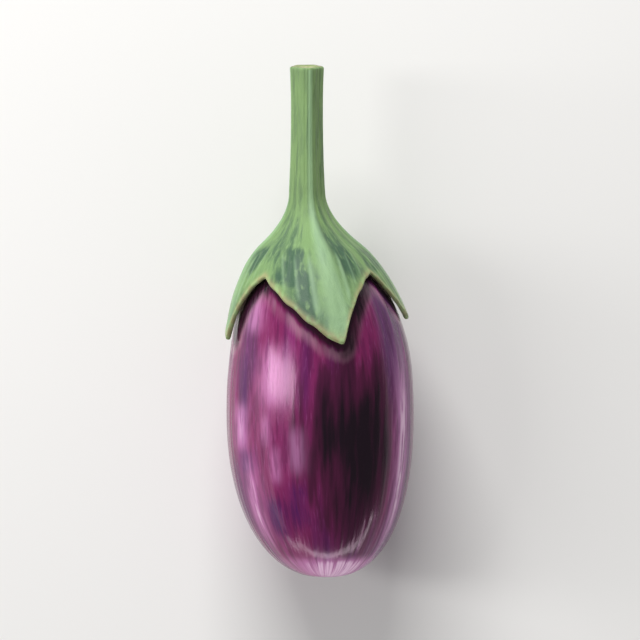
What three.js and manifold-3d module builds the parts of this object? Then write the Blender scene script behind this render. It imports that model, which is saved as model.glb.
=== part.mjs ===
// A miniature garden eggplant as picked: the fruit, and the green calyx that caps it with its cut stem.
//
// Millimetres. In the finished part +Z is up, +Y runs along the fruit towards its stem, and the origin is
// on the small flat spot that the fruit rests on, straight under its widest ring.
//
// Both pieces are shaped as they hung on the plant: +Z towards the stem, z = 0 at the widest ring, and
// the side that ends uppermost facing -Y. A turn of the whole group then lays them down.
// Angles about the fruit are degrees from that uppermost side, growing towards +X.

import * as THREE from "three";
import { mergeVertices } from "three/addons/utils/BufferGeometryUtils.js";
import Module from "manifold-3d";

// The fruit
const FRUIT_RADIUS = 21.2; // at the widest ring
const SHOULDER_HEIGHT = 39; // from the widest ring up to the top, under the calyx
const BLOSSOM_DEPTH = 37.5; // from the widest ring down to the blossom end
const SHOULDER_FULLNESS = 2.3; // exponent of the upper outline: 2 is an ellipse, more is fuller
const BLOSSOM_FULLNESS = 2.3; // exponent of the lower outline
const OVAL_SHARE = 0.012; // how far the rings are from round, as a share of the radius
const LUMP_SHARE = (OVAL_SHARE * 2) / 3; // in this ratio the two leave the resting side level
const OVAL_TURN = 1.2; // radians
const SCAR_RADIUS = 2.4; // the dimple at the blossom end
const SCAR_DEPTH = 0.7;
const FLAT_DEPTH = 0.35; // how far the resting side is pressed flat

// How the axis strays from straight: the sways are for a height of 1 mm and grow with its square, and
// the axis also steps sideways under the calyx, to where the stem stands
const BLOSSOM_SWAY_X = 0.0008;
const STEM_SWAY_Y = -0.0005;
const STEM_OFFSET_X = -3.2;
const OFFSET_START = 10; // height at which the step begins
const OFFSET_END = 52;

// The stem
const STEM_TOP = 78; // height of the cut above the widest ring
const STEM_RADIUS = 3.4;
const NECK_RADIUS = 3.9; // where the stem starts to flare
const NECK_HEIGHT = 50;
const CUT_SWELL = 0.25; // the cut end is this much wider
const CUT_SLOPE = 0.22; // the cut runs down by this share of the distance across
const CUT_ROUNDING = 0.5;
const STEM_RIB_SHARE = 0.065; // height of the ribs that run down into the lobes

// The calyx, a fleshy cap whose five lobes lie on the fruit
const SEAT_GAP = 0.35; // between the calyx and the fruit
const CAP_THICKNESS = 1.6; // round the neck
const EDGE_THICKNESS = 0.85; // at the edge of the lobes
const KEEL_HEIGHT = 0.75; // ridge down the middle of each lobe
const KEEL_WIDTH = 0.2; // as a share of half the lobe
const SEAM_DEPTH = 0.35; // furrow between two lobes
const NOTCH_LIFT = 0.5; // how far the edge stands off the fruit between two lobes
const TIP_ROUNDING = 0.05; // how far tips and notches are from sharp, as a share of half a lobe
const CAP_START = 0.42; // where the flare of the stem meets the cap, as an angle down the shoulder

// Each lobe: the angle of its tip and of the notch before it, how far down the shoulder the notch and
// the tip reach (0 is the top, 1.57 the widest ring), how far the tip stands off the fruit, and how full
// its sides are before and after the tip (1 is nearly straight, less curves in, more curves out).
const LOBES = [
  { notch: -43, tip: 12.5, notchReach: 0.755, tipReach: 1.245, lift: 1.8, fullness: [1.1, 0.3] },
  { notch: 52, tip: 88, notchReach: 0.71, tipReach: 1.06, lift: 0.5, fullness: [1.6, 0.7] },
  { notch: 118, tip: 151, notchReach: 0.84, tipReach: 1.2, lift: 0.6, fullness: [0.7, 0.6] },
  { notch: 187, tip: 219, notchReach: 0.8, tipReach: 1.24, lift: 0.6, fullness: [0.8, 0.6] },
  { notch: 252, tip: 285, notchReach: 0.82, tipReach: 1.21, lift: 0.6, fullness: [0.7, 0.4] },
];

// Mesh fineness
const FRUIT_AROUND = 60;
const FRUIT_ALONG = 36;
const SAMPLES_PER_SIDE = 10; // points across half a lobe
const STEM_RINGS = 7;
const FLARE_RINGS = 6;
const LOBE_RINGS = 8;
const SEAT_RINGS = 7;

const FULL_TURN = 360;
const radians = THREE.MathUtils.degToRad;
const mix = THREE.MathUtils.lerp;

const wasm = await Module();
wasm.setup();

// Each ring is slightly oval and slightly three-sided.
function roundness(angle) {
  return (
    1 + OVAL_SHARE * Math.cos(2 * angle - OVAL_TURN) + LUMP_SHARE * Math.cos(3 * angle - OVAL_TURN)
  );
}

// A point at a distance out from the axis, at an angle about it and at a height, all as it hung.
function place(out, angle, height) {
  const step = STEM_OFFSET_X * THREE.MathUtils.smoothstep(height, OFFSET_START, OFFSET_END);
  const swayX = height < 0 ? BLOSSOM_SWAY_X * height ** 2 : step;
  const swayY = height < 0 ? 0 : STEM_SWAY_Y * height ** 2;
  const reach = out * roundness(angle);
  return new THREE.Vector3(swayX + reach * Math.sin(angle), swayY - reach * Math.cos(angle), height);
}

// One half of the fruit's outline, as [out, height]: down is 0 at the end of the fruit and a quarter
// turn at the widest ring.
function outline(down, length, fullness) {
  const out = FRUIT_RADIUS * Math.sin(down) ** (2 / fullness);
  const height = length * Math.max(0, Math.cos(down)) ** (2 / fullness);
  return [out, height];
}

// The shoulder's outline pushed outwards by an offset, square to the skin.
function offShoulder(down, offset) {
  const [out, height] = outline(down, SHOULDER_HEIGHT, SHOULDER_FULLNESS);
  const slopeOut = out ** (SHOULDER_FULLNESS - 1) / FRUIT_RADIUS ** SHOULDER_FULLNESS;
  const slopeUp = height ** (SHOULDER_FULLNESS - 1) / SHOULDER_HEIGHT ** SHOULDER_FULLNESS;
  const size = Math.hypot(slopeOut, slopeUp);
  return [out + (offset * slopeOut) / size, height + (offset * slopeUp) / size];
}

// One closed surface through rings of points, from a point at its top to a point at its bottom.
function closedLoft(topPoint, rings, bottomPoint) {
  const around = rings[0].length;
  const points = [topPoint, ...rings.flat(), bottomPoint];
  const at = (ring, k) => 1 + ring * around + (k % around);
  const faces = [];
  for (let k = 0; k < around; k++) {
    faces.push(0, at(0, k), at(0, k + 1));
    for (let ring = 0; ring + 1 < rings.length; ring++) {
      faces.push(at(ring, k), at(ring + 1, k), at(ring + 1, k + 1));
      faces.push(at(ring, k), at(ring + 1, k + 1), at(ring, k + 1));
    }
    faces.push(at(rings.length - 1, k), points.length - 1, at(rings.length - 1, k + 1));
  }
  const geometry = new THREE.BufferGeometry().setFromPoints(points);
  geometry.setIndex(faces);
  return geometry;
}

function solidFrom(geometry) {
  const bare = geometry.clone();
  bare.deleteAttribute("normal");
  bare.deleteAttribute("uv");
  const merged = mergeVertices(bare);
  const vertProperties = merged.attributes.position.array;
  const triVerts = new Uint32Array(merged.index.array);
  return new wasm.Manifold(new wasm.Mesh({ numProp: 3, vertProperties, triVerts }));
}

function geometryFrom(solid) {
  const { vertProperties, triVerts } = solid.getMesh();
  const geometry = new THREE.BufferGeometry();
  geometry.setAttribute("position", new THREE.BufferAttribute(vertProperties, 3));
  geometry.setIndex(new THREE.BufferAttribute(triVerts, 1));
  return geometry;
}

// The fruit: an egg a little fuller than an ellipse, dimpled at the blossom end, with its resting side
// pressed flat.
const restHeight = FRUIT_RADIUS * roundness(Math.PI) - FLAT_DEPTH;

function fruitGeometry() {
  const rings = [];
  for (let step = 1; step < FRUIT_ALONG; step++) {
    const turn = (Math.PI * step) / FRUIT_ALONG;
    const upper = turn <= Math.PI / 2;
    const [out, height] = upper
      ? outline(turn, SHOULDER_HEIGHT, SHOULDER_FULLNESS)
      : outline(Math.PI - turn, BLOSSOM_DEPTH, BLOSSOM_FULLNESS);
    const dimple = SCAR_DEPTH * Math.exp(-((out / SCAR_RADIUS) ** 2));
    const level = upper ? height : dimple - height;
    rings.push(
      Array.from({ length: FRUIT_AROUND }, (_, k) => place(out, (2 * Math.PI * k) / FRUIT_AROUND, level)),
    );
  }
  const whole = closedLoft(
    place(0, 0, SHOULDER_HEIGHT),
    rings,
    place(0, 0, SCAR_DEPTH - BLOSSOM_DEPTH),
  );
  const blockSize = 4 * FRUIT_RADIUS;
  const surface = new THREE.BoxGeometry(blockSize, blockSize, blockSize);
  surface.translate(0, restHeight + blockSize / 2, 0);
  return geometryFrom(solidFrom(whole).subtract(solidFrom(surface)));
}

// How far a lobe's edge has come back from its tip, 0, to the notch, 1, at a share of the way across,
// turning gently at both ends.
function comeBack(share, fullness) {
  const blunt = (value) => Math.hypot(value, TIP_ROUNDING) ** fullness - TIP_ROUNDING ** fullness;
  const left = 1 - blunt(share) / blunt(1);
  return 1 + TIP_ROUNDING - Math.hypot(left, TIP_ROUNDING);
}

// The directions in which the calyx is sampled. Each holds its angle and across, which runs from -1 at
// the notch before a lobe through 0 at the tip to 1 at the notch after it, with that lobe's reaches.
function lobeDirections() {
  return LOBES.flatMap((lobe, k) => {
    const next = LOBES[(k + 1) % LOBES.length];
    const nextNotch = next.notch + (next.notch < lobe.tip ? FULL_TURN : 0);
    return Array.from({ length: 2 * SAMPLES_PER_SIDE }, (_, step) => {
      const across = step / SAMPLES_PER_SIDE - 1;
      const before = across < 0;
      const degrees = mix(lobe.tip, before ? lobe.notch : nextNotch, Math.abs(across));
      const notchReach = before ? lobe.notchReach : next.notchReach;
      const fullness = lobe.fullness[before ? 0 : 1];
      const reach = mix(lobe.tipReach, notchReach, comeBack(Math.abs(across), fullness));
      const lift = mix(lobe.lift, NOTCH_LIFT, Math.abs(across));
      return { angle: radians(degrees), across, reach, lift };
    });
  });
}

// How proud a rib stands at a place across a lobe: 1 down the middle, falling to 0, and -1 in the seam.
function ribShape(across) {
  return Math.exp(-((across / KEEL_WIDTH) ** 2)) - Math.abs(across) ** 6;
}

// The outer face of the cap, part 0 where the stem's flare ends and 1 at the lobe's edge.
function capFace(direction, part) {
  const down = mix(CAP_START, direction.reach, part);
  const rib = ribShape(direction.across);
  const relief = rib * (rib > 0 ? KEEL_HEIGHT * (1 - 0.6 * part) : SEAM_DEPTH * (1 - part));
  const thickness = mix(CAP_THICKNESS, EDGE_THICKNESS, part) + relief;
  return offShoulder(down, SEAT_GAP + direction.lift * part ** 3 + thickness);
}

// The face that lies on the fruit, part 0 at the top of the shoulders and 1 at the lobe's edge.
function seatFace(direction, part) {
  const down = direction.reach * part;
  const along = Math.max(0, (down - CAP_START) / (direction.reach - CAP_START));
  return offShoulder(down, SEAT_GAP + direction.lift * along ** 3);
}

// The stem's outline at a part of its length, 0 at the cut and 1 at the neck.
function stemFace(direction, part) {
  const wide = mix(STEM_RADIUS, NECK_RADIUS, part ** 3) + CUT_SWELL * (1 - part) ** 6;
  const out = wide * (1 + STEM_RIB_SHARE * Math.cos(Math.PI * direction.across));
  const cut = STEM_TOP - CUT_ROUNDING - CUT_SLOPE * out * Math.cos(direction.angle);
  return [out, mix(cut, NECK_HEIGHT, part)];
}

// The hollow curve that carries the stem's outline into the cap's, leaving each in its own direction.
function flareFace(direction, part) {
  const [neckOut, neckHeight] = stemFace(direction, 1);
  const [capOut, capHeight] = capFace(direction, 0);
  const [nextOut, nextHeight] = capFace(direction, 0.01);
  const slope = (nextHeight - capHeight) / (nextOut - capOut);
  const turnHeight = capHeight + slope * (neckOut - capOut);
  const bend = new THREE.QuadraticBezierCurve(
    new THREE.Vector2(neckOut, neckHeight),
    new THREE.Vector2(neckOut, turnHeight),
    new THREE.Vector2(capOut, capHeight),
  );
  return bend.getPoint(part).toArray();
}

// The calyx and its stem, which grew as one piece: down the outside from the cut end to the edge of the
// lobes, and back up the face that lies on the fruit.
function calyxGeometry() {
  const directions = lobeDirections();
  const ring = (face, part) =>
    directions.map((direction) => {
      const [out, height] = face(direction, part);
      return place(out, direction.angle, height);
    });
  const cutFace = (direction, part) => {
    const [out] = stemFace(direction, 0);
    const inside = out - CUT_ROUNDING * (1 + part);
    return [inside, STEM_TOP - CUT_SLOPE * inside * Math.cos(direction.angle)];
  };
  const rings = [ring(cutFace, 1), ring(cutFace, 0)];
  for (let k = 0; k <= STEM_RINGS; k++) rings.push(ring(stemFace, k / STEM_RINGS));
  for (let k = 1; k < FLARE_RINGS; k++) rings.push(ring(flareFace, k / FLARE_RINGS));
  for (let k = 0; k <= LOBE_RINGS; k++) rings.push(ring(capFace, k / LOBE_RINGS));
  for (let k = SEAT_RINGS; k > 0; k--) rings.push(ring(seatFace, k / SEAT_RINGS));
  return closedLoft(place(0, 0, STEM_TOP), rings, place(0, 0, SHOULDER_HEIGHT + SEAT_GAP));
}

function piece(name, geometry, color, roughness) {
  geometry.computeVertexNormals();
  const material = new THREE.MeshStandardMaterial({ color, roughness, metalness: 0 });
  const mesh = new THREE.Mesh(geometry, material);
  mesh.name = name;
  return mesh;
}

// Laid down: what hung facing -Y now faces up, and the stem points along +Y.
const eggplant = new THREE.Group();
eggplant.add(piece("fruit", fruitGeometry(), 0x4b1848, 0.25));
eggplant.add(piece("calyx_with_stem", calyxGeometry(), 0x7f9f68, 0.75));
eggplant.rotation.x = -Math.PI / 2;
eggplant.position.z = restHeight;

export default eggplant;
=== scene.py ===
"""A miniature garden eggplant as picked, lying on its side with its cut stem along +Y.

The fruit and its calyx repeat the solids' formulas on finer meshes, with the veins, ripples and edges
that the solids leave out. Lengths are millimetres until place() turns them into the frame's metres.
Angles about the fruit grow from its uppermost side towards +X.
"""

from math import pi, radians

import bpy
import numpy as np
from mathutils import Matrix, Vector, kdtree


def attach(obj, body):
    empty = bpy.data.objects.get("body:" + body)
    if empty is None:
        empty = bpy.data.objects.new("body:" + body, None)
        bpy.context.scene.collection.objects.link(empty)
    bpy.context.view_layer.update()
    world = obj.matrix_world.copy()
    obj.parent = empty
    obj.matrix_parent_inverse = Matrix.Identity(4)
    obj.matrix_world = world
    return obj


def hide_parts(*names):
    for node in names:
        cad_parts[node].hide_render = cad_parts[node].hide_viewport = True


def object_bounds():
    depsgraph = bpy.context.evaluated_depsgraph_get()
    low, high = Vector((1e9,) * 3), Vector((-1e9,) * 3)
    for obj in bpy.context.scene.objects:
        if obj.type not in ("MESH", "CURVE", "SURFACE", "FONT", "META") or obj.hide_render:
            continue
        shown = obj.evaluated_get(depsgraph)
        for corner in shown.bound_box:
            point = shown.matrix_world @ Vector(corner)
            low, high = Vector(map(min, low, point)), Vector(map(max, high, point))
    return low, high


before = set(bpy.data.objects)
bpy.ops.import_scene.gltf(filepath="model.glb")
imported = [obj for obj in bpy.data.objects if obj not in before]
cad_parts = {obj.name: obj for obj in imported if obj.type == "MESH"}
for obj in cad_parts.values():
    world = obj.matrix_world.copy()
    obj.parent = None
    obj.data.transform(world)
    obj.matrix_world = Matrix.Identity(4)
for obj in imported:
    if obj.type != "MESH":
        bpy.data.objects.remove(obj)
cad_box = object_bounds()

MM = 0.001

# The fruit, as in the solids
FRUIT_RADIUS = 21.2
SHOULDER_HEIGHT = 39
BLOSSOM_DEPTH = 37.5
SHOULDER_FULLNESS = 2.3
BLOSSOM_FULLNESS = 2.3
OVAL_SHARE = 0.012
LUMP_SHARE = OVAL_SHARE * 2 / 3
OVAL_TURN = 1.2
SCAR_RADIUS = 2.4
SCAR_DEPTH = 0.7
FLAT_DEPTH = 0.35
BLOSSOM_SWAY_X = 0.0008
STEM_SWAY_Y = -0.0005
STEM_OFFSET_X = -3.2
OFFSET_START = 10
OFFSET_END = 52

# The stem, as in the solids
STEM_TOP = 78
STEM_RADIUS = 3.4
NECK_RADIUS = 3.9
NECK_HEIGHT = 50
CUT_SWELL = 0.25
CUT_SLOPE = 0.22
CUT_ROUNDING = 0.5
STEM_RIB_SHARE = 0.065

# The calyx, as in the solids
SEAT_GAP = 0.35
CAP_THICKNESS = 1.6
EDGE_THICKNESS = 0.85
KEEL_HEIGHT = 0.75
KEEL_WIDTH = 0.2
KEEL_LOSS = 0.6
SEAM_DEPTH = 0.35
SEAM_SHARPNESS = 6
NOTCH_LIFT = 0.5
TIP_ROUNDING = 0.05
CAP_START = 0.42
LOBES = [
    dict(notch=-43, tip=12.5, notch_reach=0.755, tip_reach=1.245, lift=1.8, fullness=(1.1, 0.3)),
    dict(notch=52, tip=88, notch_reach=0.71, tip_reach=1.06, lift=0.5, fullness=(1.6, 0.7)),
    dict(notch=118, tip=151, notch_reach=0.84, tip_reach=1.2, lift=0.6, fullness=(0.7, 0.6)),
    dict(notch=187, tip=219, notch_reach=0.8, tip_reach=1.24, lift=0.6, fullness=(0.8, 0.6)),
    dict(notch=252, tip=285, notch_reach=0.82, tip_reach=1.21, lift=0.6, fullness=(0.7, 0.4)),
]

# Shapes that the solids leave out
RIDGE_HEIGHT = 0.08  # soft lengthwise ridges in the skin
DENT_HEIGHT = 0.1  # broad unevenness of the skin
SMOOTH_END = (2, 12)  # both die away between these distances from the axis, towards the fruit's ends
FLAT_SOFTNESS = 0.08  # how gently the flat spot runs into the skin
EDGE_WANDER = 0.007  # how far the lobes' edges stray along the shoulder
EDGE_WAVE = 0.16  # how far they wave off the fruit
VEIN_HEIGHT = 0.16  # side veins on the lobes
VEIN_PLACES = (0.3, 0.55, 0.8)  # as shares of half a lobe
VEIN_WIDTH = 0.05
VEIN_LEAN = 0.25  # how far they lean in towards the keel, as a share
VEIN_FULL = 0.4  # the part of the cap's length at which they have risen
VEIN_FADING = 0.8  # and the part from which they sink again
STRIA_HEIGHT = 0.05  # fine lines along the stem
GRAIN_HEIGHT = 0.05  # fine grain over the cap
GRAIN_FULL = 0.2  # the part of the cap's length at which it has risen
PITH_DEPTH = 0.35  # how far the middle of the cut end has shrunk
PITH_SLOPE = (0.35, 0.8)  # where it rises to the rim, as shares of the cut's radius

# Colours of the calyx, from place to place
RIM_WIDTH = 1.1  # how far the tan of the lobes' edges reaches over the cap
VEIN_PALENESS = 0.6  # of the side veins, as a share of the keel's
BLADE_MIDDLE = 0.48  # the darker green between keel and seam
BLADE_WIDTH = 0.2
BLADE_FULL = 0.2  # the part of the cap's length at which it is darkest
BLADE_FADING = (0.45, 0.95)  # and the parts between which it fades
CALYX_GRAIN_RADIUS = 13
LOBE_LENGTH = 30  # of a lobe's outline, for each unit of its reach
GRAIN_LENGTH = 25  # the same, for the grain
PAST_CUT = 1.2  # stands for all places beyond the cut's rim, which is at 1

# Colours of the skin, with its painted shade, shadows and highlights, in degrees about the fruit and
# millimetres along it
PAINTED_SHADE_ANGLE = 30  # the middle of the painted shade, a patch of skin made nearly black on the fruit's shaded side
PAINTED_SHADE_HEIGHT = -8
PAINTED_SHADE_WIDTHS = (46, 19)  # how far it fades towards smaller and larger angles
PAINTED_SHADE_LENGTH = 21
ROSY_ANGLE = -26  # the middle of the redder side
ROSY_WIDTH = 30
PAINTED_SHADOWS = [  # painted shadow beside the calyx: the angles where it starts, is full, fades and ends, then how far out
    dict(angles=(10, 16, 44, 52), fading=2.6, gone=4.4),
    dict(angles=(-80, -66, -42, -36), fading=1.8, gone=3.6),
]
EDGE_LIMIT = -8  # below this height the calyx's edge is too far off to matter
FAR = 40  # stands for the distance to it there
PAINTED_HIGHLIGHTS = [  # painted highlights and reflections, laid in as pale streaks of the skin
    dict(angle=-31, half_width=11, middle=8, half_length=6.5, strength=0.6),
    dict(angle=-59, half_width=7, middle=-3, half_length=5, strength=0.7),
    dict(angle=-53, half_width=7, middle=-20, half_length=9.5, strength=0.8),
    dict(angle=-36, half_width=4, middle=-3.5, half_length=3.5, strength=0.5),
    dict(angle=-30, half_width=4, middle=-11, half_length=4, strength=0.5),
    dict(angle=-15, half_width=5, middle=-8, half_length=5, strength=0.45),
    dict(angle=59, half_width=8, middle=-9, half_length=21, strength=0.9),
    dict(angle=-50, half_width=9, middle=22, half_length=4, strength=0.55),
    dict(angle=14, half_width=54, middle=-34.9, half_length=2.7, strength=1.15),
]
VIOLET_STREAKS = [  # where it turned deep violet
    dict(angle=-55, half_width=8, middle=-10.5, half_length=2.5, strength=0.8),
    dict(angle=-16, half_width=7, middle=-20, half_length=5, strength=0.85),
    dict(angle=-35, half_width=8, middle=-23, half_length=4.5, strength=0.95),
    dict(angle=-68, half_width=8, middle=-18, half_length=7, strength=0.7),
    dict(angle=-60, half_width=6, middle=9, half_length=5, strength=0.5),
]
HIDDEN_PALE_STREAKS = 16  # seeded pale streaks of the skin, on the sides and the back
HIDDEN_VIOLET_STREAKS = 8

# Mesh fineness
FRUIT_AROUND = 320
FRUIT_ALONG = 240
SAMPLES_PER_SIDE = 44
CUT_RINGS = 14
RIM_RINGS = 4
STEM_RINGS = 44
FLARE_RINGS = 26
LOBE_RINGS = 56
EDGE_RINGS = 6
SEAT_RINGS = 26

# The picture
LENS = 135
FRAME_FILL = 0.8  # share of the frame's height that the eggplant takes
FLOOR_REACH = 4  # metres from the middle to each side
WORLD_STRENGTH = 0.28


def mix(a, b, share):
    return a + (b - a) * share


def smooth(value, low, high):
    """0 below low, 1 above high, and a soft step between."""
    share = np.clip((value - low) / (high - low), 0, 1)
    return share * share * (3 - 2 * share)


def waves(seed, around, along, terms=9):
    """A gentle random relief over the fruit, about -1 to 1, with whole waves round it so that it closes."""
    random = np.random.default_rng(seed)
    turns = random.integers(around[0], around[1] + 1, terms)
    climbs = random.uniform(-along, along, terms)
    starts = random.uniform(0, 2 * pi, terms)

    def relief(angle, height):
        total = 0
        for turn, climb, start in zip(turns, climbs, starts):
            total = total + np.cos(turn * angle + climb * height + start)
        return total / terms ** 0.5 / 1.4

    return relief


def roundness(angle):
    return 1 + OVAL_SHARE * np.cos(2 * angle - OVAL_TURN) + LUMP_SHARE * np.cos(3 * angle - OVAL_TURN)


REST_HEIGHT = FRUIT_RADIUS * roundness(pi) - FLAT_DEPTH


def place(out, angle, height):
    """Points at a distance from the fruit's axis, an angle about it and a height towards the stem."""
    out, angle, height = np.broadcast_arrays(out, angle, height)
    step = STEM_OFFSET_X * smooth(height, OFFSET_START, OFFSET_END)
    sway_x = np.where(height < 0, BLOSSOM_SWAY_X * height ** 2, step)
    sway_y = np.where(height < 0, 0, STEM_SWAY_Y * height ** 2)
    reach = out * roundness(angle)
    x = sway_x + reach * np.sin(angle)
    up = REST_HEIGHT - sway_y + reach * np.cos(angle)
    return np.stack([x, height, up], axis=-1) * MM


def off_shoulder(down, offset):
    """The shoulder's outline pushed outwards by an offset, square to the skin."""
    out = FRUIT_RADIUS * np.sin(down) ** (2 / SHOULDER_FULLNESS)
    height = SHOULDER_HEIGHT * np.maximum(0, np.cos(down)) ** (2 / SHOULDER_FULLNESS)
    slope_out = out ** (SHOULDER_FULLNESS - 1) / FRUIT_RADIUS ** SHOULDER_FULLNESS
    slope_up = height ** (SHOULDER_FULLNESS - 1) / SHOULDER_HEIGHT ** SHOULDER_FULLNESS
    size = np.hypot(slope_out, slope_up)
    return out + offset * slope_out / size, height + offset * slope_up / size


def closed_loft(name, top, rings, bottom, values):
    """A smooth closed mesh through rings of points, with one named value on each point."""
    around = rings.shape[1]
    count = len(rings)
    points = np.concatenate([[top], rings.reshape(-1, 3), [bottom]])
    last = len(points) - 1
    here = np.arange(around)
    after = (here + 1) % around
    faces = [(0, 1 + a, 1 + b) for a, b in zip(here, after)]
    for ring in range(count - 1):
        upper = 1 + ring * around
        lower = upper + around
        faces += [(upper + a, lower + a, lower + b, upper + b) for a, b in zip(here, after)]
    end = 1 + (count - 1) * around
    faces += [(end + a, last, end + b) for a, b in zip(here, after)]
    mesh = bpy.data.meshes.new(name)
    mesh.from_pydata(points.tolist(), [], faces)
    mesh.shade_smooth()
    for title, value in values.items():
        flat = np.concatenate([value[0][:1], value.reshape(-1, *value.shape[2:]), value[-1][:1]])
        kind, field = ("FLOAT", "value") if value.ndim == 2 else ("FLOAT_VECTOR", "vector")
        layer = mesh.attributes.new(title, kind, "POINT")
        layer.data.foreach_set(field, flat.astype(np.float32).ravel())
    piece = bpy.data.objects.new(name, mesh)
    bpy.context.scene.collection.objects.link(piece)
    return piece


# The lobes of the calyx


def lobe_directions():
    """Angle, across, reach and lift in every direction round the calyx. Across is -1 and 1 in a notch."""
    columns = []
    for k, lobe in enumerate(LOBES):
        following = LOBES[(k + 1) % len(LOBES)]
        next_notch = following["notch"] + (360 if following["notch"] < lobe["tip"] else 0)
        for step in range(2 * SAMPLES_PER_SIDE):
            across = step / SAMPLES_PER_SIDE - 1
            before = across < 0
            degrees = mix(lobe["tip"], lobe["notch"] if before else next_notch, abs(across))
            notch_reach = lobe["notch_reach"] if before else following["notch_reach"]
            fullness = lobe["fullness"][0 if before else 1]
            reach = mix(lobe["tip_reach"], notch_reach, come_back(abs(across), fullness))
            columns.append((radians(degrees), across, reach, mix(lobe["lift"], NOTCH_LIFT, abs(across))))
    angle, across, reach, lift = np.array(columns).T
    wander = waves(seed=11, around=(12, 40), along=0)(angle, 0)
    wave = waves(seed=12, around=(5, 14), along=0)(angle, 0)
    return angle, across, reach + EDGE_WANDER * wander, lift + EDGE_WAVE * wave


def come_back(share, fullness):
    """How far a lobe's edge has come back from its tip, 0, to the notch, 1, turning gently at both ends."""

    def blunt(value):
        return np.hypot(value, TIP_ROUNDING) ** fullness - TIP_ROUNDING ** fullness

    left = 1 - blunt(share) / blunt(1)
    return 1 + TIP_ROUNDING - np.hypot(left, TIP_ROUNDING)


ANGLE, ACROSS, REACH, LIFT = lobe_directions()


def keel():
    """1 down the middle of a lobe, falling to 0, and -1 in the seam between two."""
    return np.exp(-(ACROSS / KEEL_WIDTH) ** 2) - np.abs(ACROSS) ** SEAM_SHARPNESS


def veins(part):
    """The side veins: 1 on a vein, 0 between. They start under the flare and lean towards the tip."""
    total = np.zeros_like(ACROSS)
    for where in VEIN_PLACES:
        lean = where * (1 - VEIN_LEAN * part)
        total += np.exp(-((np.abs(ACROSS) - lean) / VEIN_WIDTH) ** 2)
    return total * smooth(part, 0, VEIN_FULL) * (1 - smooth(part, VEIN_FADING, 1))


def stem_rib():
    """1 on a rib of the stem, 0 between: each rib runs down into a lobe's keel."""
    return np.maximum(0, np.cos(pi * ACROSS)) ** 3


def rib_colour(kind, part):
    """Where the calyx is paler along its ribs, keels and veins."""
    if kind == "stem":
        return stem_rib()
    if kind == "flare":
        return mix(stem_rib(), np.maximum(0, keel()), part)
    if kind == "cap":
        return np.maximum(0, keel()) + VEIN_PALENESS * veins(part)
    return np.zeros_like(ACROSS)


def edge_colour(kind, part):
    """1 on a lobe's edge, falling to 0 over the cap."""
    if kind == "cap":
        away = (1 - part) * (REACH - CAP_START) * LOBE_LENGTH
        return np.exp(-(away / RIM_WIDTH) ** 2)
    return np.full_like(ACROSS, kind == "edge")


def between_veins(part):
    """1 in the darker green beside a lobe's keel, falling to 0 at the keel, the seam and the edge."""
    beside = np.exp(-((np.abs(ACROSS) - BLADE_MIDDLE) / BLADE_WIDTH) ** 2)
    return beside * smooth(part, 0, BLADE_FULL) * (1 - smooth(part, *BLADE_FADING))


def cap_face(part):
    """The outer face of the cap, part 0 where the stem's flare ends and 1 at the lobe's edge."""
    down = mix(CAP_START, REACH, part)
    rib = keel()
    relief = rib * np.where(rib > 0, KEEL_HEIGHT * (1 - KEEL_LOSS * part), SEAM_DEPTH * (1 - part))
    relief = relief + VEIN_HEIGHT * veins(part)
    relief = relief + GRAIN_HEIGHT * GRAIN(ANGLE, down * GRAIN_LENGTH) * smooth(part, 0, GRAIN_FULL)
    thickness = mix(CAP_THICKNESS, EDGE_THICKNESS, part) + relief
    return off_shoulder(down, SEAT_GAP + LIFT * part ** 3 + thickness)


def seat_face(part):
    """The face that lies on the fruit, part 0 at the top of the shoulders and 1 at the lobe's edge."""
    down = REACH * part
    along = np.maximum(0, (down - CAP_START) / (REACH - CAP_START))
    return off_shoulder(down, SEAT_GAP + LIFT * along ** 3)


def edge_face(part):
    """Round the lobe's edge, part 0 at its outer face and 1 at the face on the fruit."""
    outer = np.array(cap_face(1))
    inner = np.array(seat_face(1))
    middle = (outer + inner) / 2
    half = (outer - inner) / 2
    onward = np.array([half[1], -half[0]])
    return middle + half * np.cos(pi * part) + onward * np.sin(pi * part)


def stem_face(part):
    """The stem's outline at a part of its length, 0 at the cut and 1 at the neck."""
    wide = mix(STEM_RADIUS, NECK_RADIUS, part ** 3) + CUT_SWELL * (1 - part) ** 6
    out = wide * (1 + STEM_RIB_SHARE * np.cos(pi * ACROSS))
    height = mix(cut_height(out) - CUT_ROUNDING, NECK_HEIGHT, part)
    return out + STRIA_HEIGHT * STRIAE(ANGLE, height), height


def cut_height(out):
    return STEM_TOP - CUT_SLOPE * out * np.cos(ANGLE)


def flare_face(part):
    """The hollow curve that carries the stem's outline into the cap's."""
    neck_out, neck_height = stem_face(1)
    cap_out, cap_height = cap_face(0)
    next_out, next_height = cap_face(0.01)
    slope = (next_height - cap_height) / (next_out - cap_out)
    turn_height = cap_height + slope * (neck_out - cap_out)
    first, second, third = (1 - part) ** 2, 2 * part * (1 - part), part ** 2
    out = first * neck_out + second * neck_out + third * cap_out
    height = first * neck_height + second * turn_height + third * cap_height
    return out, height


def cut_face(part):
    """The cut end from its middle, part 0, out to its rounded rim, part 1."""
    rim, _ = stem_face(0)
    out = (rim - CUT_ROUNDING) * part
    sunk = PITH_DEPTH * (1 - smooth(part, *PITH_SLOPE))
    return out, cut_height(out) - sunk


def rim_face(part):
    """The rounding between the cut end, part 0, and the stem's side, part 1."""
    rim, height = stem_face(0)
    turn = part * pi / 2
    out = rim - CUT_ROUNDING * (1 - np.sin(turn))
    return out, mix(cut_height(rim - CUT_ROUNDING), height, 1 - np.cos(turn))


STRIAE = waves(seed=21, around=(14, 40), along=0.05, terms=12)
GRAIN = waves(seed=22, around=(18, 60), along=0.9, terms=14)


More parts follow.
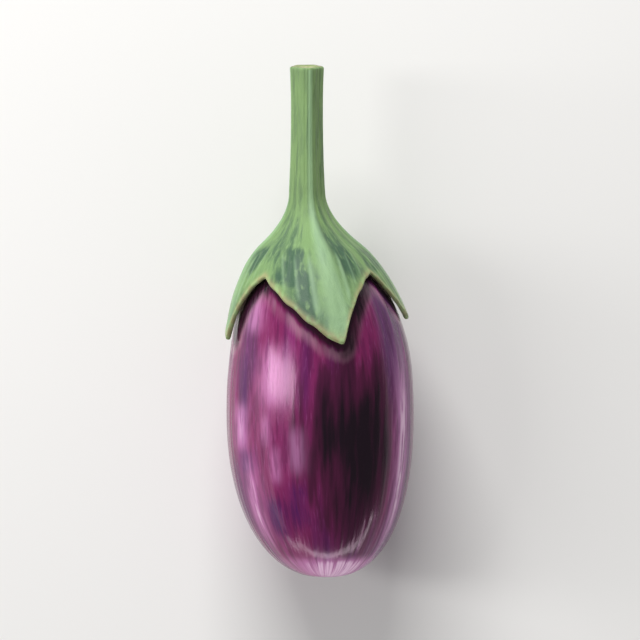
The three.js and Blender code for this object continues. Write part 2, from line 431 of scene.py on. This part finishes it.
def grain(angle, height, radius):
    """Where a point lies in the grain, in millimetres, as if the piece were a straight cylinder."""
    return np.stack(np.broadcast_arrays(radius * np.sin(angle), height, radius * np.cos(angle)), axis=-1)


def gathered(rows):
    """One array for each named value, from one dict of values for each ring."""
    return {title: np.array([row[title] for row in rows]) for title in rows[0]}


def make_calyx():
    """The calyx and its stem: from the cut end down to the lobes' edges and back up underneath."""
    steps = [(cut_face, (k + 1) / CUT_RINGS, "cut") for k in range(CUT_RINGS)]
    steps += [(rim_face, (k + 1) / RIM_RINGS, "rim") for k in range(RIM_RINGS - 1)]
    steps += [(stem_face, k / STEM_RINGS, "stem") for k in range(STEM_RINGS + 1)]
    steps += [(flare_face, (k + 1) / FLARE_RINGS, "flare") for k in range(FLARE_RINGS - 1)]
    steps += [(cap_face, k / LOBE_RINGS, "cap") for k in range(LOBE_RINGS + 1)]
    steps += [(edge_face, (k + 1) / EDGE_RINGS, "edge") for k in range(EDGE_RINGS - 1)]
    steps += [(seat_face, 1 - k / SEAT_RINGS, "seat") for k in range(SEAT_RINGS)]
    rings, rows = [], []
    zero = np.zeros_like(ANGLE)
    for face, part, kind in steps:
        out, height = face(part)
        rings.append(place(out, ANGLE, height))
        row = dict(
            edge=edge_colour(kind, part),
            rib=rib_colour(kind, part),
            blade=between_veins(part) if kind == "cap" else zero,
            stem=zero + dict(cut=1, rim=1, stem=1, flare=1 - part).get(kind, 0),
            cut=zero + (part if kind == "cut" else PAST_CUT),
            under=zero + (kind == "seat"),
            grain=grain(ANGLE, height, CALYX_GRAIN_RADIUS),
        )
        rows.append(row)
    top = place(0, 0, STEM_TOP - PITH_DEPTH)
    bottom = place(0, 0, SHOULDER_HEIGHT + SEAT_GAP)
    piece = closed_loft("calyx", top, np.array(rings), bottom, gathered(rows))
    piece.data.materials.append(calyx_material())
    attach(piece, "root")
    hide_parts("calyx_with_stem")


# The fruit


def calyx_edge_tree():
    """The lobes' edge as it lies over the skin, for finding how far a point of the skin is from it."""
    out, height = off_shoulder(REACH, 0)
    edge = place(out, ANGLE, height)
    tree = kdtree.KDTree(len(edge))
    for k, point in enumerate(edge):
        tree.insert(point, k)
    tree.balance()
    return tree


def with_hidden(shown, seed, count):
    """The streaks that the picture shows, and seeded ones round the rest of the fruit."""
    random = np.random.default_rng(seed)
    hidden = [
        dict(
            angle=random.uniform(85, 275),
            half_width=random.uniform(3, 7),
            middle=random.uniform(-26, 12),
            half_length=random.uniform(5, 14),
            strength=random.uniform(0.4, 0.9),
        )
        for _ in range(count)
    ]
    return shown + hidden


def degrees_from(middle, angle):
    """How far an angle about the fruit is from a middle in degrees, -180 to 180."""
    return (np.degrees(angle) - middle + 180) % 360 - 180


def spindles(streaks, angle, height):
    """0 to 1 over the skin: soft lengthwise spindles, one for each streak."""
    total = np.zeros_like(angle)
    for streak in streaks:
        turn = degrees_from(streak["angle"], angle) / streak["half_width"]
        along = (height - streak["middle"]) / streak["half_length"]
        total = total + streak["strength"] * np.exp(-turn ** 2 - along ** 4)
    return np.minimum(total, 1)


def painted_shade_share(angle, height):
    """1 in the middle of the painted shade, a nearly black patch, falling to 0 round it, more slowly on one
    side.
    """
    turn = degrees_from(PAINTED_SHADE_ANGLE, angle)
    turn = turn / np.where(turn < 0, PAINTED_SHADE_WIDTHS[0], PAINTED_SHADE_WIDTHS[1])
    along = (height - PAINTED_SHADE_HEIGHT) / PAINTED_SHADE_LENGTH
    return np.exp(-turn ** 2 - along ** 2)


def shade(angle, beyond):
    """1 in the painted shadow close to the calyx's edge, falling to 0 round it."""
    degrees = degrees_from(0, angle)
    total = np.zeros_like(angle)
    for dark in PAINTED_SHADOWS:
        start, full, fading, end = dark["angles"]
        side = smooth(degrees, start, full) * (1 - smooth(degrees, fading, end))
        total += side * (1 - smooth(beyond, dark["fading"], dark["gone"]))
    return total


def make_fruit():
    """The fruit: lengthwise ridges, a dimple at the blossom end and a soft-edged flat spot."""
    ridges = waves(seed=31, around=(9, 26), along=0.02)
    dents = waves(seed=32, around=(2, 6), along=0.12)
    angle = np.linspace(0, 2 * pi, FRUIT_AROUND, endpoint=False)
    softness = FLAT_SOFTNESS * MM
    tree = calyx_edge_tree()
    order = np.argsort(ANGLE % (2 * pi))
    reach = np.interp(angle, (ANGLE % (2 * pi))[order], REACH[order], period=2 * pi)
    highlights_and_pale_streaks = with_hidden(PAINTED_HIGHLIGHTS, seed=33, count=HIDDEN_PALE_STREAKS)
    violet_streaks = with_hidden(VIOLET_STREAKS, seed=34, count=HIDDEN_VIOLET_STREAKS)
    rings, rows = [], []
    for step in range(1, FRUIT_ALONG):
        turn = pi * step / FRUIT_ALONG
        upper = turn <= pi / 2
        down = turn if upper else pi - turn
        fullness = SHOULDER_FULLNESS if upper else BLOSSOM_FULLNESS
        out = FRUIT_RADIUS * np.sin(down) ** (2 / fullness)
        rise = max(0.0, np.cos(down)) ** (2 / fullness)
        dimple = SCAR_DEPTH * np.exp(-(out / SCAR_RADIUS) ** 2)
        height = SHOULDER_HEIGHT * rise if upper else dimple - BLOSSOM_DEPTH * rise
        fade = np.sin(turn) * smooth(out, *SMOOTH_END)
        proud = fade * (RIDGE_HEIGHT * ridges(angle, height) + DENT_HEIGHT * dents(angle, height))
        ring = place(out + proud, angle, height)
        up = ring[:, 2]
        ring[:, 2] = (up + np.sqrt(up ** 2 + softness ** 2)) / 2
        rings.append(ring)
        near = height > EDGE_LIMIT
        gaps = np.array([tree.find(point)[2] for point in ring]) / MM if near else FAR
        beyond = np.where(turn < reach, -1, 1) * gaps
        row = dict(
            beyond=beyond,
            scar=np.full(FRUIT_AROUND, FRUIT_RADIUS if upper else out),
            grain=grain(angle, height, FRUIT_RADIUS),
            painted_shade=painted_shade_share(angle, height),
            rosy=np.exp(-(degrees_from(ROSY_ANGLE, angle) / ROSY_WIDTH) ** 2),
            pale=spindles(highlights_and_pale_streaks, angle, height),
            violet=spindles(violet_streaks, angle, height),
            shade=shade(angle, beyond),
        )
        rows.append(row)
    top = place(0, 0, SHOULDER_HEIGHT)
    bottom = place(0, 0, SCAR_DEPTH - BLOSSOM_DEPTH)
    piece = closed_loft("skin", top, np.array(rings), bottom, gathered(rows))
    piece.data.materials.append(skin_material())
    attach(piece, "root")
    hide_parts("fruit")


# Materials


def colour(code):
    """A hex colour such as 4b1848 as linear red, green, blue and alpha."""
    parts = [int(code[k:k + 2], 16) / 255 for k in (0, 2, 4)]
    return [c / 12.92 if c <= 0.04045 else ((c + 0.055) / 1.055) ** 2.4 for c in parts] + [1]


class Nodes:
    """A material's node tree, with short calls for the few kinds of node used here."""

    def __init__(self, name):
        self.material = bpy.data.materials.new(name)
        self.material.use_nodes = True
        self.tree = self.material.node_tree
        self.shader = self.tree.nodes["Principled BSDF"]

    def add(self, kind, inputs=(), **settings):
        node = self.tree.nodes.new(kind)
        for name, value in settings.items():
            setattr(node, name, value)
        for socket, value in dict(inputs).items():
            self.put(node.inputs[socket], value)
        return node

    def put(self, socket, value):
        if isinstance(value, bpy.types.NodeSocket):
            self.tree.links.new(value, socket)
        else:
            socket.default_value = value

    def where(self):
        """Places on the object in metres."""
        return self.add("ShaderNodeTexCoord").outputs["Object"]

    def squeezed(self, place, scale):
        return self.add("ShaderNodeMapping", {"Vector": place, "Scale": scale}).outputs["Vector"]

    def noise(self, place, scale, detail=3, distortion=0):
        inputs = {"Vector": place, "Scale": scale, "Detail": detail, "Distortion": distortion}
        return self.add("ShaderNodeTexNoise", inputs).outputs["Fac"]

    def named(self, name, output="Fac"):
        """One of the values that the mesh holds."""
        return self.add("ShaderNodeAttribute", attribute_name=name).outputs[output]

    def step(self, value, low, high, to_low=0.0, to_high=1.0):
        """A value carried smoothly from low..high to to_low..to_high."""
        inputs = {"Value": value, "From Min": low, "From Max": high, "To Min": to_low, "To Max": to_high}
        return self.add("ShaderNodeMapRange", inputs, interpolation_type="SMOOTHSTEP").outputs["Result"]

    def maths(self, operation, first, second):
        node = self.add("ShaderNodeMath", {0: first, 1: second}, operation=operation)
        return node.outputs["Value"]

    def faded(self, noise, share):
        """A noise drawn towards its middle, 0.5, where the share is small."""
        return self.maths("ADD", self.maths("MULTIPLY", self.maths("SUBTRACT", noise, 0.5), share), 0.5)

    def blend(self, share, first, second):
        """The first colour turning into the second as the share goes from 0 to 1."""
        node = self.add("ShaderNodeMix", data_type="RGBA")
        for socket, value in ((0, share), (6, first), (7, second)):
            self.put(node.inputs[socket], value)
        return node.outputs[2]

    def bump(self, height, distance, normal=None):
        inputs = {"Height": height, "Distance": distance, "Strength": 1.0}
        if normal is not None:
            inputs["Normal"] = normal
        return self.add("ShaderNodeBump", inputs).outputs["Normal"]

    def finish(self, **values):
        for name, value in values.items():
            self.put(self.shader.inputs[name.replace("_", " ").title().replace("Ior", "IOR")], value)
        return self.material


def skin_material():
    """Glossy skin streaked lengthwise in magenta and violet, with painted shade and highlights and a corky
    scar.
    """
    nodes = Nodes("eggplant_skin")
    grain_place = nodes.named("grain", "Vector")
    lengthwise = nodes.squeezed(grain_place, (1, 0.12, 1))
    beyond = nodes.named("beyond")
    scar = nodes.named("scar")
    from_end = nodes.step(scar, 2, 15, 0.15, 1)
    broad = nodes.faded(nodes.noise(lengthwise, 0.14, 2), from_end)
    medium = nodes.faded(nodes.noise(lengthwise, 0.4, 2), from_end)
    fine = nodes.faded(nodes.noise(lengthwise, 0.95, 3), from_end)
    hair = nodes.faded(nodes.noise(lengthwise, 2.6, 2), from_end)

    rosy = nodes.maths("ADD", broad, nodes.maths("MULTIPLY", nodes.named("rosy"), 0.22))
    purple = nodes.blend(nodes.step(rosy, 0.4, 0.66), colour("48184f"), colour("742252"))
    purple = nodes.blend(nodes.step(medium, 0.5, 0.7, 0, 0.5), purple, colour("8c2f72"))
    purple = nodes.blend(nodes.step(fine, 0.52, 0.38, 0, 0.4), purple, colour("401136"))
    purple = nodes.blend(nodes.step(hair, 0.54, 0.75, 0, 0.18), purple, colour("a85f98"))
    violet = nodes.maths("MULTIPLY", nodes.named("violet"), nodes.step(fine, 0.3, 0.6, 1, 0.6))
    purple = nodes.blend(violet, purple, colour("3f1450"))
    # painted shade: the skin turns wine-dark and then nearly black on the fruit's shaded side
    painted_shade = nodes.maths("ADD", nodes.named("painted_shade"), nodes.step(medium, 0.25, 0.75, -0.2, 0.2))
    painted_shade = nodes.maths("ADD", painted_shade, nodes.step(fine, 0.25, 0.75, -0.1, 0.1))
    purple = nodes.blend(nodes.step(painted_shade, 0.2, 0.5, 0, 0.92), purple, colour("431530"))
    purple = nodes.blend(nodes.step(painted_shade, 0.42, 0.92), purple, colour("130c13"))
    # paler skin: painted highlights and reflections, with seeded pale streaks of the skin; whitish where
    # strongest
    pale = nodes.maths("MULTIPLY", nodes.named("pale"), nodes.step(fine, 0.3, 0.6, 0.45, 1))
    purple = nodes.blend(nodes.maths("MULTIPLY", pale, 0.85), purple, colour("d68fc6"))
    purple = nodes.blend(nodes.step(pale, 0.55, 1, 0, 0.5), purple, colour("f0dcea"))
    ragged = nodes.maths("ADD", beyond, nodes.maths("MULTIPLY", fine, -1.6))
    band = nodes.maths("MULTIPLY", nodes.step(ragged, 0.5, 1.4), nodes.step(ragged, 1.4, 4, 0.6, 0))
    band = nodes.maths("MULTIPLY", band, nodes.step(medium, 0.3, 0.6, 0.25, 1))
    purple = nodes.blend(band, purple, colour("a5798c"))
    # painted shadow of the lobes on the skin, beside the uppermost lobe and below the left notch
    shade_share = nodes.maths("MULTIPLY", nodes.named("shade"), nodes.step(fine, 0.3, 0.7, 1, 0.7))
    purple = nodes.blend(shade_share, purple, colour("130910"))
    # painted shadow: a dark line on the skin just under the calyx's edge
    purple = nodes.blend(nodes.step(ragged, -0.1, 0.9, 0.85, 0), purple, colour("26101d"))
    purple = nodes.blend(nodes.step(ragged, -2.6, -1.7, 0.85, 0), purple, colour("d4b7b4"))
    cork = nodes.blend(nodes.noise(nodes.where(), 1500, 4), colour("7d5a41"), colour("bd9c78"))
    scar_edge = nodes.maths("ADD", scar, nodes.maths("MULTIPLY", hair, 1.1))
    skin = nodes.blend(nodes.step(scar_edge, 1.9, 2.3, 1, 0), purple, cork)

    roughness = nodes.step(fine, 0.3, 0.8, 0.16, 0.26)
    roughness = nodes.maths("MAXIMUM", roughness, nodes.step(scar_edge, 1.9, 2.3, 0.75, 0))
    pores = nodes.bump(nodes.noise(nodes.where(), 2600, 2), 0.00001)
    normal = nodes.bump(fine, 0.00007, nodes.bump(medium, 0.0003, pores))
    return nodes.finish(
        base_color=skin,
        roughness=roughness,
        normal=normal,
        coat_weight=0.2,
        coat_roughness=0.12,
        specular_ior_level=0.3,
        specular_tint=colour("ffc4ea"),
    )


def calyx_material():
    """Felted sage green, mottled darker, with pale ribs and rims and a cream pith at the cut."""
    nodes = Nodes("eggplant_calyx")
    grain_place = nodes.named("grain", "Vector")
    lengthwise = nodes.squeezed(grain_place, (1, 0.35, 1))
    mottle = nodes.noise(lengthwise, 0.34, 4, 0.5)
    fleck = nodes.noise(lengthwise, 1.5, 3)
    felt = nodes.noise(nodes.where(), 3800, 2)
    edge = nodes.named("edge")
    rib = nodes.named("rib")
    cut = nodes.named("cut")
    under = nodes.named("under")

    mottle = nodes.maths("SUBTRACT", mottle, nodes.maths("MULTIPLY", nodes.named("blade"), 0.26))
    green = nodes.blend(nodes.step(mottle, 0.3, 0.6), colour("32523a"), colour("6c8b57"))
    green = nodes.blend(nodes.step(fleck, 0.5, 0.74, 0, 0.4), green, colour("84a46a"))
    green = nodes.blend(nodes.maths("MULTIPLY", nodes.named("stem"), 0.45), green, colour("7f9c62"))
    green = nodes.blend(nodes.step(rib, 0.25, 1, 0, 0.62), green, colour("8dad85"))
    rim = nodes.blend(nodes.step(fleck, 0.4, 0.65), colour("9a8f66"), colour("98ab74"))
    green = nodes.blend(nodes.maths("MULTIPLY", edge, 0.65), green, rim)
    green = nodes.blend(nodes.maths("MULTIPLY", under, 0.7), green, colour("cdd8ae"))
    fibre = nodes.noise(nodes.where(), 1400, 3)
    pith = nodes.blend(nodes.step(fibre, 0.35, 0.65), colour("9c9d70"), colour("b9ba90"))
    pith = nodes.blend(nodes.step(cut, 0.42, 0.66), pith, colour("74854f"))
    pith = nodes.blend(nodes.step(cut, 0.84, 0.98), pith, colour("6b5c38"))
    green = nodes.blend(nodes.step(cut, 1.0, 1.15), pith, green)

    roughness = nodes.step(mottle, 0.3, 0.7, 0.5, 0.68)
    normal = nodes.bump(felt, 0.00006, nodes.bump(fleck, 0.00012))
    return nodes.finish(
        base_color=green,
        roughness=roughness,
        normal=normal,
        specular_ior_level=0.35,
        sheen_weight=0.3,
        sheen_roughness=0.3,
        sheen_tint=colour("e6efd2"),
    )


def floor_material():
    nodes = Nodes("studio_floor")
    cloud = nodes.noise(nodes.where(), 3, 2)
    pale = nodes.blend(cloud, colour("e2e1de"), colour("e9e8e5"))
    return nodes.finish(base_color=pale, roughness=0.8)


# The studio


def add_floor():
    mesh = bpy.data.meshes.new("studio_floor")
    signs = [(-1, -1), (1, -1), (1, 1), (-1, 1)]
    corners = [(x * FLOOR_REACH, y * FLOOR_REACH, 0) for x, y in signs]
    mesh.from_pydata(corners, [], [(0, 1, 2, 3)])
    mesh.materials.append(floor_material())
    floor = bpy.data.objects.new("studio_floor", mesh)
    bpy.context.scene.collection.objects.link(floor)


def add_light(name, where, size, power):
    """A softbox that faces the fruit's middle. Size is its width and its height."""
    data = bpy.data.lights.new(name, "AREA")
    data.shape = "RECTANGLE"
    data.size, data.size_y = size
    data.energy = power
    light = bpy.data.objects.new(name, data)
    light.location = where
    aim = Vector((0, 0, REST_HEIGHT * MM)) - Vector(where)
    light.rotation_euler = aim.to_track_quat("-Z", "Y").to_euler()
    light.visible_camera = False
    bpy.context.scene.collection.objects.link(light)


def add_world():
    world = bpy.data.worlds.new("studio")
    world.use_nodes = True
    background = world.node_tree.nodes["Background"]
    background.inputs["Color"].default_value = colour("f2f1f5")
    background.inputs["Strength"].default_value = WORLD_STRENGTH
    bpy.context.scene.world = world


def add_camera():
    """Straight down on the eggplant, with its stem at the top of the picture."""
    low, high = cad_box
    middle = [(a + b) / 2 for a, b in zip(low, high)]
    data = bpy.data.cameras.new("camera")
    data.lens = LENS
    framed = (high[1] - low[1]) / FRAME_FILL
    away = framed * data.lens / data.sensor_width
    camera = bpy.data.objects.new("camera", data)
    camera.location = (middle[0], middle[1], middle[2] + away)
    bpy.context.scene.collection.objects.link(camera)
    bpy.context.scene.camera = camera


bpy.context.scene.view_settings.view_transform = "Standard"
make_fruit()
make_calyx()
add_floor()
add_light("top", where=(-0.16, 0.85, 0.5), size=(0.6, 0.4), power=12)
add_light("left", where=(-0.7, 0.08, 0.45), size=(0.15, 0.58), power=3)
add_light("low_left", where=(-1.2, -0.4, 0.14), size=(1.2, 0.2), power=1.4)
add_light("low_front", where=(0.2, -1.2, 0.13), size=(2.8, 0.18), power=11)
add_world()
add_camera()
